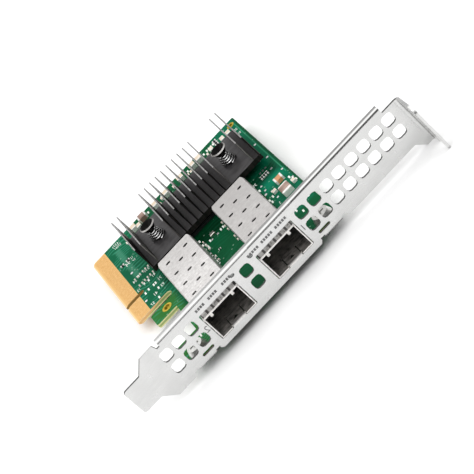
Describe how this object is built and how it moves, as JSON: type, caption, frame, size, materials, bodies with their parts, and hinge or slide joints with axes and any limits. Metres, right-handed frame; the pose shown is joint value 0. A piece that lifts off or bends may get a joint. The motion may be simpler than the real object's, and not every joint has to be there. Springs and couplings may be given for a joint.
{
  "type": "network interface card",
  "caption": "Expansion card with pluggable transceiver ports, a finned heatsink, an edge connector and a full-height vented mounting bracket.",
  "frame": {"origin": "on the bracket's outer face, midway between the two ports, in the plane of the board's component side", "axes": "+X along the bracket from its tongue to its screw ear, +Y from the bracket into the card, +Z normal to the board on the component side"},
  "size_m": [0.121, 0.1101, 0.0216],
  "materials": {
    "solder_mask_laminate": "green solder mask over glass-epoxy laminate, satin",
    "gold_plate": "gold plate over nickel and copper",
    "package_moulding": "matte epoxy moulding",
    "silicone_pad": "soft grey silicone",
    "anodised_aluminium": "black anodised, satin",
    "black_nylon": "moulded nylon",
    "spring_wire": "bright drawn wire",
    "nickel_silver": "satin nickel-plated sheet",
    "connector_moulding": "glass-filled polymer",
    "plated_sheet_steel": "matte nickel-plated sheet",
    "zinc_plated_screws": "bright zinc plate",
    "clear_acrylic": "clear moulded acrylic",
    "lamp_resin": "cast resin",
    "capacitor_ceramic": "fired ceramic with tinned ends",
    "resistor_body": "glazed alumina with tinned ends",
    "ferrite_moulding": "pressed ferrite powder",
    "crystal_can": "seam-welded metal can"
  },
  "bodies": {
    "root": {"circuit_board": "solder_mask_laminate", "edge_contacts_component_side": "gold_plate", "edge_contacts_solder_side": "gold_plate", "plated_hole_rims": "gold_plate", "controller_chip": "package_moulding", "thermal_pad": "silicone_pad", "heatsink": "anodised_aluminium", "push_pin_left": "black_nylon", "push_pin_right": "black_nylon", "push_pin_spring_left": "spring_wire", "push_pin_spring_right": "spring_wire", "cage_left": "nickel_silver", "cage_right": "nickel_silver", "spring_collar_left": "nickel_silver", "spring_collar_right": "nickel_silver", "host_connector_left": "connector_moulding", "host_connector_right": "connector_moulding", "connector_contacts_left": "gold_plate", "connector_contacts_right": "gold_plate", "bracket": "plated_sheet_steel", "bracket_screws": "zinc_plated_screws", "light_guide_left": "clear_acrylic", "light_guide_right": "clear_acrylic", "status_lamps": "lamp_resin", "large_ceramic_capacitors": "capacitor_ceramic", "small_ceramic_capacitors": "capacitor_ceramic", "solder_side_capacitors": "capacitor_ceramic", "chip_resistors": "resistor_body", "power_inductors": "ferrite_moulding", "voltage_regulator": "package_moulding", "crystal_oscillator": "crystal_can", "flash_memory": "package_moulding"}
  },
  "joints": []
}
